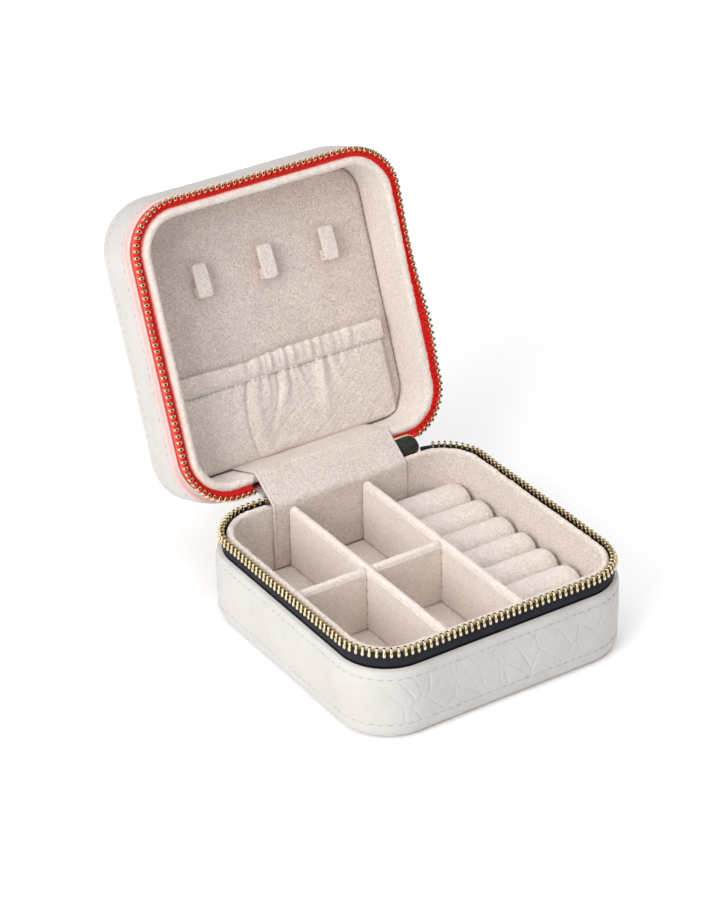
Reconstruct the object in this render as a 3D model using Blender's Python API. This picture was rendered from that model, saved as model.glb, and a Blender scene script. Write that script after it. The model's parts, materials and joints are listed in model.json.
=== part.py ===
"""Zip-around travel jewellery case, standing with its lid fully open.

Metres, +Z up. The origin is the centre of the base's underside, +X is the right-hand side
and +Y points at the hinge. Both halves are modelled as they meet when shut, and the lid is
then turned about the hinge axis to its open rest position.
"""
import math

import bmesh
import bpy
from mathutils import Vector

# Driving dimensions
HALF_WIDTH = 0.050            # outside of the leather, from the centre plane
CORNER_RADIUS = 0.0171        # outside corner radius in plan
CORNER_SEGMENTS = 8
GAP = 0.0003                  # clearance between touching pieces
OPEN_ANGLE = math.radians(110.7)
EDGE_GAP = 0.0113             # between the two leather edges when shut, filled by the zip
LEATHER = 0.0009
WALL_BULGE = 0.0010           # padded leather stands proud of its upper edge
BASE_DEPTH = 0.0253           # underside to the leather's upper edge
LID_DEPTH = 0.0194
HINGE_OVERHANG = 0.0018       # hinge axis behind the leather

# Wall build-up, as half widths
CORE_OUTER = 0.0481
CORE_INNER = 0.0469
LINING_LOWER_OUTER = 0.0466
FLANGE_HALF = 0.046
TAPE_LOW_OUTER = 0.0488
TAPE_THICKNESS = 0.0004
# Floor build-up, as heights above the outside face
BOARD_LOW, BOARD_HIGH = 0.0012, 0.0036
PAD_LOW = 0.0039
# Zip, as heights above the lower end of a tooth
TAPE_REACH = -0.0003
BEAD_HEIGHT = 0.0008
TOOTH_HEIGHT = 0.0029
TAPE_HEM = 0.0060             # tape hidden behind the leather, below its edge
TOOTH_PITCH = 0.00218
TOOTH_LENGTH = 0.00085        # along the chain
TOOTH_DEPTH = 0.0024          # through the chain
BEAD_DEPTH = 0.0016
CHAIN_START_X = -0.0257       # left end, on the hinge side
CHAIN_END_X = 0.0360          # right end of the teeth, just past the slider
TAPE_END_X = 0.0262

# Tray
DIVIDER_THICKNESS = 0.0033
DIVIDER_TOP = 0.0289
LONG_DIVIDERS = {"long_divider_left": -0.0182, "long_divider_right": 0.0101}
CROSS_DIVIDER_Y = -0.0002
ROLL_COUNT = 7
ROLL_HEIGHT = 0.0130
ROLL_SIDES = 16
# Lid fittings, x and height measured in the plane of the lid from its centre
HOOK_CENTRES = {"hook_left": -0.0223, "hook_middle": 0.0024, "hook_right": 0.0262}
HOOK_LOW, HOOK_HIGH = 0.0148, 0.0252
HOOK_WIDTH = 0.0052
HOOK_STAND_OFF = 0.0044
HOOK_THICKNESS = 0.0014
POCKET_TOP = -0.0102
HEM_LOW = -0.0167
HEM_DEPTH = 0.0024
POCKET_DEPTH = 0.0017
POCKET_RIGHT = 0.0398
# Hinge ribbon
RIBBON_LEFT, RIBBON_RIGHT = -0.0256, 0.0262
RIBBON_THICKNESS = 0.0007
RIM_NOTCH = 0.0010
# Slider and pull, as (inner face, outer face) behind the hinge axis when shut
SLIDER_LEFT, SLIDER_RIGHT = 0.0269, 0.0344
SLIDER_MIDDLE = (SLIDER_LEFT + SLIDER_RIGHT) / 2
INNER_PLATE = (-0.00245, -0.00175)
OUTER_PLATE = (0.0007, 0.0014)
INNER_PLATE_HALF_HEIGHT = 0.0027
OUTER_PLATE_HALF_HEIGHT = 0.0022
POST_HALF_HEIGHT = 0.0008
CROWN_HALF_WIDTH = 0.0006
PIVOT_OFFSET = 0.00225        # crown pivot behind the hinge axis
LINK_HALF_WIDTH = 0.0032
LINK_BAR = 0.0008
LINK_DROP = 0.0068            # between the link's two bars
TAB_LENGTH = 0.0185

CORNER_CENTRE = HALF_WIDTH - CORNER_RADIUS
LID_EDGE_Z = BASE_DEPTH + EDGE_GAP
HINGE = Vector((0.0, HALF_WIDTH + HINGE_OVERHANG, BASE_DEPTH + EDGE_GAP / 2))
CHAIN_REFERENCE = 0.0500      # half width on which the tooth pitch is measured

SHELLS = {
    "base": {"direction": 1, "edge_z": BASE_DEPTH, "depth": BASE_DEPTH, "rim": 0.0059,
             "inner": 0.0454, "rim_outer": 0.0478, "pad_high": 0.0068, "zip_half": 0.0497, "zip_low": 0.0046,
             "tape_end": TAPE_END_X + 0.0088,
             "outer_face": "bottom"},
    "lid": {"direction": -1, "edge_z": LID_EDGE_Z, "depth": LID_DEPTH, "rim": 0.0051,
            "inner": 0.0442, "rim_outer": 0.0470, "pad_high": 0.0078, "zip_half": 0.0495, "zip_low": 0.0021,
            "tape_end": TAPE_END_X,
            "outer_face": "top"},
}


# Materials

def material(name, color, roughness, metallic=0.0):
    """Return a Principled material, made once per name."""
    found = bpy.data.materials.get(name)
    if found:
        return found
    made = bpy.data.materials.new(name)
    made.use_nodes = True
    shader = made.node_tree.nodes["Principled BSDF"]
    shader.inputs["Base Color"].default_value = (*color, 1.0)
    shader.inputs["Roughness"].default_value = roughness
    shader.inputs["Metallic"].default_value = metallic
    return made


def white_leather():
    return material("white_leather", (0.86, 0.84, 0.82), 0.45)


def suede():
    return material("beige_suede", (0.78, 0.70, 0.64), 0.95)


def board():
    return material("grey_board", (0.45, 0.42, 0.38), 0.9)


def brass():
    return material("brass", (0.78, 0.62, 0.30), 0.3, 1.0)


TAPE_MATERIALS = {
    "base": ("navy_tape", (0.02, 0.02, 0.04), 0.8),
    "lid": ("red_tape", (0.75, 0.03, 0.03), 0.8),
}


# Mesh building

def finish(name, bm, finish_material, parent=None, smooth=False):
    """Turn a bmesh into an object whose faces point out."""
    bmesh.ops.recalc_face_normals(bm, faces=bm.faces)
    mesh = bpy.data.meshes.new(name)
    bm.to_mesh(mesh)
    bm.free()
    if smooth:
        mesh.shade_smooth()
        mesh.set_sharp_from_angle(angle=math.radians(40))
    mesh.materials.append(finish_material)
    piece = bpy.data.objects.new(name, mesh)
    bpy.context.collection.objects.link(piece)
    if parent:
        piece.parent = parent
        if "modelled_at" in parent:
            piece.location = -Vector(parent["modelled_at"])
    return piece


def skin_rows(bm, rows, closed):
    """Join rows of points, each row a closed loop, into a surface."""
    made = [[bm.verts.new(point) for point in row] for row in rows]
    count = len(made[0])
    pairs = list(zip(made, made[1:]))
    if closed:
        pairs.append((made[-1], made[0]))
    for first, second in pairs:
        for i in range(count):
            j = (i + 1) % count
            bm.faces.new((first[i], first[j], second[j], second[i]))
    if not closed:
        bm.faces.new(made[0])
        bm.faces.new(made[-1])


def prism(name, outline, extrusion, finish_material, parent=None, smooth=False):
    """Extrude a closed outline of 3-D points."""
    bm = bmesh.new()
    offset = Vector(extrusion)
    low = [Vector(point) for point in outline]
    skin_rows(bm, [low, [point + offset for point in low]], closed=False)
    return finish(name, bm, finish_material, parent, smooth)


def block(name, low, high, finish_material, parent=None):
    """A rectangular solid between two corners."""
    outline = [(low[0], low[1], low[2]), (high[0], low[1], low[2]),
               (high[0], high[1], low[2]), (low[0], high[1], low[2])]
    return prism(name, outline, (0, 0, high[2] - low[2]), finish_material, parent)


def empty(name, location, turn, parent=None):
    """An axis on which moving pieces hang, turned about X."""
    axis = bpy.data.objects.new(name, None)
    bpy.context.collection.objects.link(axis)
    axis.location = location
    axis.rotation_euler.x = turn
    axis.parent = parent
    return axis


def cut(piece, cutter, operation):
    """Cut a piece with a cutter that stays hidden."""
    cutter.hide_render = True
    cutter.display_type = "WIRE"
    modifier = piece.modifiers.new(cutter.name, "BOOLEAN")
    modifier.operation = operation
    modifier.object = cutter


# Plan outline: an anchor on the square of corner centres, and an outward normal

def corner_stations(start_angle):
    """Stations round one corner, counter-clockwise from start_angle in degrees."""
    middle = math.radians(start_angle + 45)
    anchor = Vector((math.copysign(CORNER_CENTRE, math.cos(middle)),
                     math.copysign(CORNER_CENTRE, math.sin(middle))))
    stations = []
    for step in range(CORNER_SEGMENTS + 1):
        angle = math.radians(start_angle + 90 * step / CORNER_SEGMENTS)
        stations.append((anchor, Vector((math.cos(angle), math.sin(angle)))))
    return stations


def closed_stations():
    """The whole outline, counter-clockwise from the right-hand end of the hinge side."""
    return [station for start in (90, 180, 270, 0) for station in corner_stations(start)]


def chain_station(distance):
    """The station at a distance along the zip, from the middle of the hinge side leftwards."""
    arc = (CHAIN_REFERENCE - CORNER_CENTRE) * math.pi / 2
    side = 2 * CORNER_CENTRE
    remaining = distance + CORNER_CENTRE
    angle = 90.0
    while remaining > side + arc:
        remaining -= side + arc
        angle += 90.0
    normal_angle = math.radians(angle + 90.0 * max(remaining - side, 0.0) / arc)
    facing = math.radians(angle)
    normal = Vector((round(math.cos(facing)), round(math.sin(facing))))
    along = Vector((-normal.y, normal.x))
    anchor = normal * CORNER_CENTRE + along * (min(remaining, side) - CORNER_CENTRE)
    return anchor, Vector((math.cos(normal_angle), math.sin(normal_angle)))


def chain_length_to(x):
    """Distance along the zip to a point on the hinge side, or just round its right corner."""
    whole = 8 * CORNER_CENTRE + 2 * math.pi * (CHAIN_REFERENCE - CORNER_CENTRE)
    return -x if x < 0 else whole - x


def at(station, half, z):
    """The point of a station at a half width and a height."""
    anchor, normal = station
    flat = anchor + normal * (half - CORNER_CENTRE)
    return Vector((flat.x, flat.y, z))


def level(shell, above_edge):
    """World height, when shut, of a height above a shell's leather edge."""
    return shell["edge_z"] + shell["direction"] * above_edge


def sweep(name, stations, profile, finish_material, parent, closed):
    """Carry a profile of (half width, height) points along the stations."""
    bm = bmesh.new()
    rows = [[at(station, half, z) for half, z in profile] for station in stations]
    skin_rows(bm, rows, closed)
    return finish(name, bm, finish_material, parent, smooth=True)


def plate(name, half, low, high, finish_material, parent):
    """A flat sheet with the case's rounded outline."""
    outline = [at(station, half, low) for station in closed_stations()]
    return prism(name, outline, (0, 0, high - low), finish_material, parent)


# The two halves

def leather_band(prefix, shell, parent):
    depth = shell["depth"]
    full = HALF_WIDTH + WALL_BULGE
    profile = [(HALF_WIDTH, 0), (full - 0.0003, -0.0012), (full, -0.0032), (full, 0.0052 - depth),
               (full - 0.0005, 0.0026 - depth), (0.04950, 0.00080 - depth),
               (0.0480, -depth), (FLANGE_HALF, -depth), (FLANGE_HALF, LEATHER - depth),
               (0.0479, LEATHER - depth), (0.04875, 0.00125 - depth),
               (HALF_WIDTH - LEATHER, 0.0021 - depth), (HALF_WIDTH - LEATHER, 0)]
    levels = [(half, level(shell, height)) for half, height in profile]
    sweep(prefix + "_leather_band", closed_stations(), levels, white_leather(), parent, True)


def flat_layers(prefix, shell, parent):
    depth = shell["depth"]
    layers = {
        prefix + "_leather_" + shell["outer_face"]: (FLANGE_HALF - GAP, 0, LEATHER, white_leather()),
        prefix + "_core_board": (LINING_LOWER_OUTER, BOARD_LOW, BOARD_HIGH, board()),
        ("tray_floor_pad" if prefix == "base" else "lid_back_pad"):
            (shell["inner"] - GAP, PAD_LOW, shell["pad_high"], suede()),
    }
    for name, (half, low, high, finish_material) in layers.items():
        plate(name, half, level(shell, low - depth), level(shell, high - depth),
              finish_material, parent)


def core_frame(prefix, shell, parent):
    low = level(shell, 0.0013 - shell["depth"])
    high = level(shell, -0.0012)
    profile = [(CORE_OUTER, low), (CORE_OUTER, high), (CORE_INNER, high), (CORE_INNER, low)]
    sweep(prefix + "_core_frame", closed_stations(), profile, board(), parent, True)


def lining_wall(prefix, shell, parent):
    """Suede-covered wall whose rounded rim stands above the leather edge."""
    inner, outer, rim = shell["inner"], shell["rim_outer"], shell["rim"]
    soft = 0.0006
    profile = [(inner, PAD_LOW - shell["depth"]), (LINING_LOWER_OUTER, PAD_LOW - shell["depth"]),
               (LINING_LOWER_OUTER, -0.0007), (outer, -0.0001), (outer, rim - soft),
               (outer - soft, rim), (inner + soft, rim), (inner, rim - soft)]
    levels = [(half, level(shell, height)) for half, height in profile]
    wall = sweep(prefix + "_lining_wall", closed_stations(), levels, suede(), parent, True)
    # the hinge ribbon lies in a shallow notch of the rim
    notch_edges = sorted((level(shell, rim - RIM_NOTCH), level(shell, rim + 0.002)))
    cutter = block(prefix + "_rim_notch", (RIBBON_LEFT - GAP, inner - 0.002, notch_edges[0]),
                   (RIBBON_RIGHT + GAP, outer + 0.0006, notch_edges[1]), suede(), parent)
    cut(wall, cutter, "DIFFERENCE")


def zip_tape(prefix, shell, parent):
    """Woven tape, sewn inside the leather edge and leaning out to the teeth."""
    top_half = shell["zip_half"] - 0.0002
    outer = [(TAPE_LOW_OUTER, -TAPE_HEM), (TAPE_LOW_OUTER, 0.0), (top_half, 0.0013),
             (top_half, shell["zip_low"] + TAPE_REACH)]
    profile = outer + [(half - TAPE_THICKNESS, height) for half, height in reversed(outer)]
    levels = [(half, level(shell, height)) for half, height in profile]
    first = chain_length_to(CHAIN_START_X)
    last = chain_length_to(shell["tape_end"])
    arc = (CHAIN_REFERENCE - CORNER_CENTRE) * math.pi / 2
    distances = [first]
    for corner in range(4):
        start = CORNER_CENTRE + corner * (2 * CORNER_CENTRE + arc)
        distances += [start + arc * step / CORNER_SEGMENTS for step in range(CORNER_SEGMENTS + 1)]
    distances = [distance for distance in distances if distance < last - GAP] + [last]
    stations = [chain_station(distance) for distance in distances]
    finish_material = material(*TAPE_MATERIALS[prefix])
    sweep(prefix + "_zip_tape", stations, levels, finish_material, parent, False)


def zip_teeth(prefix, shell, parent):
    """Brass chain: a bead along the tape's edge that carries one block for each tooth."""
    shift = 0.0 if prefix == "base" else TOOTH_PITCH / 2
    start = chain_length_to(CHAIN_START_X) + shift
    count = int((chain_length_to(CHAIN_END_X) - start) / TOOTH_PITCH)
    low, bead, tip = [level(shell, shell["zip_low"] + height) for height in (0, BEAD_HEIGHT, TOOTH_HEIGHT)]
    middle = shell["zip_half"]
    bm = bmesh.new()

    def row(distance):
        station = chain_station(distance)
        bead_in, bead_out = middle - BEAD_DEPTH / 2, middle + BEAD_DEPTH / 2
        tooth_in, tooth_out = middle - TOOTH_DEPTH / 2, middle + TOOTH_DEPTH / 2
        corners = [(bead_in, low), (tooth_in, bead), (tooth_in, tip),
                   (tooth_out, tip), (tooth_out, bead), (bead_out, low)]
        return [bm.verts.new(at(station, half, z)) for half, z in corners]

    def band(first, second, indices):
        for i, j in zip(indices, indices[1:]):
            bm.faces.new((first[i], first[j], second[j], second[i]))

    tooth_ring = [0, 1, 2, 3, 4, 5, 0]
    bead_ring = [0, 1, 4, 5, 0]
    previous = None
    for tooth in range(count):
        first = row(start + tooth * TOOTH_PITCH)
        second = row(start + tooth * TOOTH_PITCH + TOOTH_LENGTH)
        if previous:
            band(previous, first, bead_ring)
            bm.faces.new((first[1], first[2], first[3], first[4]))
            bm.faces.new((previous[1], previous[2], previous[3], previous[4]))
        else:
            bm.faces.new(first)
        band(first, second, tooth_ring)
        previous = second
    bm.faces.new(previous)
    finish(prefix + "_zip_teeth", bm, brass(), parent)


def shell_half(prefix, parent=None):
    shell = SHELLS[prefix]
    leather_band(prefix, shell, parent)
    flat_layers(prefix, shell, parent)
    core_frame(prefix, shell, parent)
    lining_wall(prefix, shell, parent)
    zip_tape(prefix, shell, parent)
    zip_teeth(prefix, shell, parent)


# Tray fittings

def behind_ribbon(inner):
    """Half width, on the hinge side, that is clear of the ribbon on an inside wall."""
    return inner - 3 * GAP - RIBBON_THICKNESS


def dividers():
    floor = SHELLS["base"]["pad_high"] + GAP
    inner = SHELLS["base"]["inner"]
    back = behind_ribbon(inner)
    half = DIVIDER_THICKNESS / 2
    for name, x in LONG_DIVIDERS.items():
        block(name, (x - half, GAP - inner, floor), (x + half, back, DIVIDER_TOP), suede())
    left, right = LONG_DIVIDERS.values()
    spans = {"cross_divider_left": (GAP - inner, left - half - GAP),
             "cross_divider_middle": (left + half + GAP, right - half - GAP)}
    for name, (start, end) in spans.items():
        block(name, (start, CROSS_DIVIDER_Y - half, floor),
              (end, CROSS_DIVIDER_Y + half, DIVIDER_TOP), suede())


def roll_widths():
    """Rolls at the ends of the row are fuller, and the middle ones are squeezed."""
    shares = [1.0 + 0.085 * math.cos(2 * math.pi * (i + 0.5) / ROLL_COUNT)
              for i in range(ROLL_COUNT)]
    inner = SHELLS["base"]["inner"]
    usable = inner - GAP + behind_ribbon(inner)
    return [usable * share / sum(shares) for share in shares]


def ring_rolls():
    """Soft rolls that hold rings between them, lying across the right-hand section."""
    inner = SHELLS["base"]["inner"] - GAP
    left = LONG_DIVIDERS["long_divider_right"] + DIVIDER_THICKNESS / 2 + GAP
    right = inner - GAP
    interior = [at(station, inner, 0) for station in closed_stations()]
    limit = prism("tray_interior", interior, (0, 0, 0.04), suede())
    height = ROLL_HEIGHT / 2
    middle_z = SHELLS["base"]["pad_high"] + GAP + height
    # (distance from the right end, share of the full section)
    dome = [(None, 1.0), (0.0026, 1.0), (0.0008, 0.88), (0.0, 0.66)]
    edge = behind_ribbon(SHELLS["base"]["inner"])
    for number, width in enumerate(roll_widths(), start=1):
        centre_y = edge - width / 2
        half = (width - GAP) / 2
        rows = []
        for back_off, share in dome:
            x = left if back_off is None else right - back_off
            rows.append([(x, centre_y + half * share * math.cos(turn),
                          middle_z + height * share * math.sin(turn))
                         for turn in (2 * math.pi * (k + 0.5) / ROLL_SIDES for k in range(ROLL_SIDES))])
        bm = bmesh.new()
        skin_rows(bm, rows, closed=False)
        roll = finish("ring_roll_%d" % number, bm, suede(), smooth=True)
        if abs(centre_y) + width / 2 > CORNER_CENTRE:
            cut(roll, limit, "INTERSECT")
        edge -= width
    limit.hide_render = True
    limit.display_type = "WIRE"


# Lid fittings, modelled shut: the lid's inside faces down and its height axis runs to -Y

def lid_face():
    """Height, when shut, of the padded face inside the lid."""
    return level(SHELLS["lid"], SHELLS["lid"]["pad_high"] - LID_DEPTH)


def hooks(parent):
    """Necklace hooks: a tab that stands off the pad on a shelf along its lower edge."""
    pad = lid_face() - GAP
    front = lid_face() - HOOK_STAND_OFF
    shelf = 0.0025
    for name, x in HOOK_CENTRES.items():
        left = x - HOOK_WIDTH / 2
        outline = [(left, -HOOK_LOW, pad), (left, -HOOK_LOW, front + 0.0012),
                   (left, -HOOK_LOW - 0.0004, front + 0.0004),
                   (left, -HOOK_LOW - 0.0012, front), (left, -HOOK_HIGH, front),
                   (left, -HOOK_HIGH, front + HOOK_THICKNESS),
                   (left, -HOOK_LOW - shelf, front + HOOK_THICKNESS),
                   (left, -HOOK_LOW - shelf, pad)]
        prism(name, outline, (HOOK_WIDTH, 0, 0), suede(), parent)


def pocket(parent):
    """Gathered pocket: a front panel, a hem along its mouth and the elastic in the hem."""
    face = lid_face() - GAP
    half = behind_ribbon(SHELLS["lid"]["inner"])
    top = GAP - HEM_LOW
    outline = [(POCKET_RIGHT, top, face), (POCKET_RIGHT, 0.0395, face), (0.0350, half, face)]
    outline += [at(station, half, face) for station in corner_stations(90)]
    outline.append((-half, top, face))
    prism("pocket_front", outline, (0, 0, -POCKET_DEPTH), suede(), parent)

    channel = 0.0006
    rows = []
    for x, inset in ((-half, 0), (POCKET_RIGHT, 0), (POCKET_RIGHT, channel), (-half, channel)):
        low_y, high_y = -POCKET_TOP + inset, -HEM_LOW - inset
        low_z, high_z = face - HEM_DEPTH + inset, face - inset
        rows.append([(x, low_y, low_z), (x, high_y, low_z), (x, high_y, high_z), (x, low_y, high_z)])
    bm = bmesh.new()
    skin_rows(bm, rows, closed=True)
    finish("pocket_hem", bm, suede(), parent)

    inset = channel + GAP
    block("pocket_elastic", (GAP - half, -POCKET_TOP + inset, face - HEM_DEPTH + inset),
          (POCKET_RIGHT - GAP, -HEM_LOW - inset, face - inset),
          material("elastic", (0.85, 0.83, 0.80), 0.9), parent)


# The flexible hinge, in its open shape

def open_point(y, z):
    """Where a point of the shut lid lies when the lid is open."""
    back, up = y - HINGE.y, z - HINGE.z
    return Vector((HINGE.y + back * math.cos(OPEN_ANGLE) + up * math.sin(OPEN_ANGLE),
                   HINGE.z - back * math.sin(OPEN_ANGLE) + up * math.cos(OPEN_ANGLE)))


def strap(name, centre_line, thickness, left, right, finish_material):
    """A flat strap of even thickness along a line of (y, z) points."""
    sides = ([], [])
    for i, point in enumerate(centre_line):
        before = centre_line[max(i - 1, 0)]
        after = centre_line[min(i + 1, len(centre_line) - 1)]
        arriving = (point - before).normalized() if i else (after - point).normalized()
        leaving = (after - point).normalized() if point != after else arriving
        bisector = (arriving + leaving).normalized()
        normal = Vector((-bisector.y, bisector.x))
        reach = thickness / 2 / max(bisector.dot(leaving), 0.5)
        sides[0].append(point + normal * reach)
        sides[1].append(point - normal * reach)
    outline = [(left, point.x, point.y) for point in sides[0] + sides[1][::-1]]
    prism(name, outline, (right - left, 0, 0), finish_material, smooth=True)


def hinge_ribbon():
    """Suede ribbon glued down both inside walls and stretched between the two rims."""
    base, lid = SHELLS["base"], SHELLS["lid"]
    stand_off = GAP + RIBBON_THICKNESS / 2
    over_rim = 0.0004
    base_y = base["inner"] - stand_off
    lid_y = lid["inner"] - stand_off
    centre_line = [Vector((base_y, base["pad_high"] + GAP)),
                   Vector((base_y, level(base, base["rim"] - RIM_NOTCH) + over_rim)),
                   open_point(lid_y, level(lid, lid["rim"] - RIM_NOTCH) - over_rim),
                   open_point(lid_y, lid_face() - GAP)]
    strap("hinge_ribbon", centre_line, RIBBON_THICKNESS, RIBBON_LEFT, RIBBON_RIGHT, suede())


def hinge_spine():
    """Leather that joins the two bands behind the hinge, an arc while the lid is open."""
    y = HALF_WIDTH - LEATHER / 2
    start = Vector((y, level(SHELLS["base"], GAP)))
    end = open_point(y, level(SHELLS["lid"], GAP))
    radius = (end - start).length / 2 / math.sin(OPEN_ANGLE / 2)
    steps = 10
    centre_line = []
    for step in range(steps + 1):
        angle = math.pi - OPEN_ANGLE * step / steps
        centre_line.append(start + Vector((radius + radius * math.cos(angle), radius * math.sin(angle))))
    strap("hinge_spine", centre_line, LEATHER, CHAIN_START_X + GAP, TAPE_END_X - 2 * GAP,
          white_leather())


# Slider and pull

def slider_body(axis):
    """Two plates joined by a post, as they stand when the case is shut."""
    y_in, y_out = INNER_PLATE, OUTER_PLATE
    outline = [(y_in[0], -INNER_PLATE_HALF_HEIGHT), (y_in[1], -INNER_PLATE_HALF_HEIGHT),
               (y_in[1], -POST_HALF_HEIGHT), (y_out[0], -POST_HALF_HEIGHT),
               (y_out[0], -OUTER_PLATE_HALF_HEIGHT), (y_out[1], -OUTER_PLATE_HALF_HEIGHT)]
    outline += [(y, -z) for y, z in reversed(outline)]
    points = [(SLIDER_LEFT, HINGE.y + y, HINGE.z + z) for y, z in outline]
    prism("zip_slider_body", points, (SLIDER_RIGHT - SLIDER_LEFT, 0, 0),
          material("black_lacquer", (0.02, 0.02, 0.02), 0.35, 0.6), axis)


def slider_crown(axis):
    """Arch on the slider's outer plate that holds the pull link."""
    foot, inner, outer = OUTER_PLATE[1] + GAP, 0.0030, 0.0037
    outline = [(foot, 0.0019), (outer, 0.0019), (outer, -0.0019), (foot, -0.0019),
               (foot, -0.0011), (inner, -0.0011), (inner, 0.0011), (foot, 0.0011)]
    points = [(SLIDER_MIDDLE - CROWN_HALF_WIDTH, HINGE.y + y, HINGE.z + z) for y, z in outline]
    prism("zip_slider_crown", points, (2 * CROWN_HALF_WIDTH, 0, 0), brass(), axis)


def pull_link(axis):
    """Rectangular ring that hangs from the crown, about its upper bar."""
    outer, bar = LINK_HALF_WIDTH, LINK_BAR
    rows = []
    for y, inset in ((-bar / 2, 0), (bar / 2, 0), (bar / 2, bar), (-bar / 2, bar)):
        side = outer - inset
        top, bottom = bar / 2 - inset, -LINK_DROP - bar / 2 + inset
        rows.append([(-side, y, top), (side, y, top), (side, y, bottom), (-side, y, bottom)])
    bm = bmesh.new()
    skin_rows(bm, rows, closed=True)
    finish("pull_link", bm, brass(), axis)


def pull_tab(axis):
    """Leather tab with an eye round the link's lower bar."""
    neck = LINK_HALF_WIDTH - LINK_BAR - GAP
    half, half_thickness, radius = 0.0032, 0.00125, 0.0020
    shoulder, eye = -0.0016, 0.00125
    right = [(neck, eye), (neck, shoulder), (half, shoulder - 0.0006)]
    for step in range(5):
        angle = math.radians(90 * step / 4)
        right.append((half - radius + radius * math.cos(angle),
                      radius - TAB_LENGTH - radius * math.sin(angle)))
    outline = right + [(-x, z) for x, z in reversed(right)]
    points = [(x, -half_thickness, z) for x, z in outline]
    tab = prism("pull_tab", points, (0, 2 * half_thickness, 0),
                material("black_leather", (0.02, 0.02, 0.02), 0.5), axis)
    hole = 0.0007
    cutter = block("pull_tab_eye", (-half, -hole, -hole), (half, hole, hole), brass(), axis)
    cut(tab, cutter, "DIFFERENCE")


def main():
    for old in list(bpy.data.objects):
        bpy.data.objects.remove(old, do_unlink=True)
    shell_half("base")
    dividers()
    ring_rolls()
    hinge_ribbon()
    hinge_spine()

    lid_axis = empty("lid_hinge_axis", HINGE, -OPEN_ANGLE)
    lid_axis["modelled_at"] = HINGE
    shell_half("lid", lid_axis)
    hooks(lid_axis)
    pocket(lid_axis)

    slider_axis = empty("slider_axis", HINGE, -OPEN_ANGLE / 2)
    slider_axis["modelled_at"] = HINGE
    slider_body(slider_axis)
    slider_crown(slider_axis)
    link_axis = empty("pull_link_axis", (SLIDER_MIDDLE, PIVOT_OFFSET, 0), OPEN_ANGLE / 2, slider_axis)
    pull_link(link_axis)
    pull_tab(empty("pull_tab_axis", (0, 0, -LINK_DROP), 0, link_axis))


main()
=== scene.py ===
"""Looks of the zip-around travel jewellery case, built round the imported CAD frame."""
import json
from itertools import product
from math import copysign, cos, degrees, exp, hypot, pi, radians, sin
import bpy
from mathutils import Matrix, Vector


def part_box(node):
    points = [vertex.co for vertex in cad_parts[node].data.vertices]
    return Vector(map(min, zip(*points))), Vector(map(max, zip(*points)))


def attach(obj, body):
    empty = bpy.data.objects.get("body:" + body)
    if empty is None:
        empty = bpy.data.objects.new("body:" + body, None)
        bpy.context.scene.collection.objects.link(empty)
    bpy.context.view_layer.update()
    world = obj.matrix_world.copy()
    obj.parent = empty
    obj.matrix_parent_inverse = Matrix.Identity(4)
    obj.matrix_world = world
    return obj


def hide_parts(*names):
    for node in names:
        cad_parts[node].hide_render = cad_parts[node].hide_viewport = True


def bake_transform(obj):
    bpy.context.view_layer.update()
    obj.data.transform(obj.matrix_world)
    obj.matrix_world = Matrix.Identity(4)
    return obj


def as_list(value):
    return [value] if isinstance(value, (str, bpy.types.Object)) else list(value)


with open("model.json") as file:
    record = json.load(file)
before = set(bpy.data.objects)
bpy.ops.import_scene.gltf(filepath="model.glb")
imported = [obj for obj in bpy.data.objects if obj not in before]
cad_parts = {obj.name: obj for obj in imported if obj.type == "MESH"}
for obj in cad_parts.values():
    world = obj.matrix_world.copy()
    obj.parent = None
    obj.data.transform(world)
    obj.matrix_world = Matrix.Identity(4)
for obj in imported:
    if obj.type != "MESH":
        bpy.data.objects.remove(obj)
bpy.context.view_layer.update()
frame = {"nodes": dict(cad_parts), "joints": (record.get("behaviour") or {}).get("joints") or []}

from types import SimpleNamespace

import bmesh
import bpy
import numpy as np
from mathutils import Matrix, Vector

# Dimensions shared with the CAD model, in metres
HALF = 0.05
CORNER = 0.0171
CENTRE = HALF - CORNER          # corner arcs' centres
LEATHER = 0.0009
BULGE = 0.001                   # the padded wall stands proud of its upper edge
BASE_DEPTH = 0.0253
LID_DEPTH = 0.0194
GAP = 0.0003
PITCH = 0.00218
CHAIN_START_X, CHAIN_END_X, TAPE_END_X = -0.0257, 0.036, 0.0262
SLIDER_FAR_X = 0.035
RIBBON_LEFT, RIBBON_RIGHT = -0.0256, 0.0262
ARC = CORNER * pi / 2
SIDE = 2 * CENTRE
ROUND = 4 * (ARC + SIDE)
MM = 0.001

joints = {joint["name"]: joint for joint in frame["joints"]}
HINGE = np.array(joints["lid_hinge"]["pos_m"])
OPEN = radians(joints["lid_hinge"]["range_deg"][1])
LID_EDGE = 2 * HINGE[2] - BASE_DEPTH

# The two halves. Heights run along way from the leather's edge: rim is the lining's top, low is the
# foot of the teeth, and pad is the padding's face above the outside. inner and outer are the
# lining's half widths, and zip is that of the teeth.
BASE = SimpleNamespace(name="base", way=1, edge=BASE_DEPTH, depth=BASE_DEPTH, rim=0.0059,
                       inner=0.0454, outer=0.0478, zip=0.0497, low=0.0046, pad=0.0068)
LID = SimpleNamespace(name="lid", way=-1, edge=LID_EDGE, depth=LID_DEPTH, rim=0.0051,
                      inner=0.0442, outer=0.047, zip=0.0495, low=0.0021, pad=0.0078)


# -------- materials

def shader(name, color, roughness, **sockets):
    made = bpy.data.materials.new(name)
    made.use_nodes = True
    bsdf = made.node_tree.nodes["Principled BSDF"]
    sockets.update(Base_Color=(*color, 1), Roughness=roughness)
    for socket, value in sockets.items():
        bsdf.inputs[socket.replace("_", " ")].default_value = value
    return made, made.node_tree, bsdf


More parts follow.
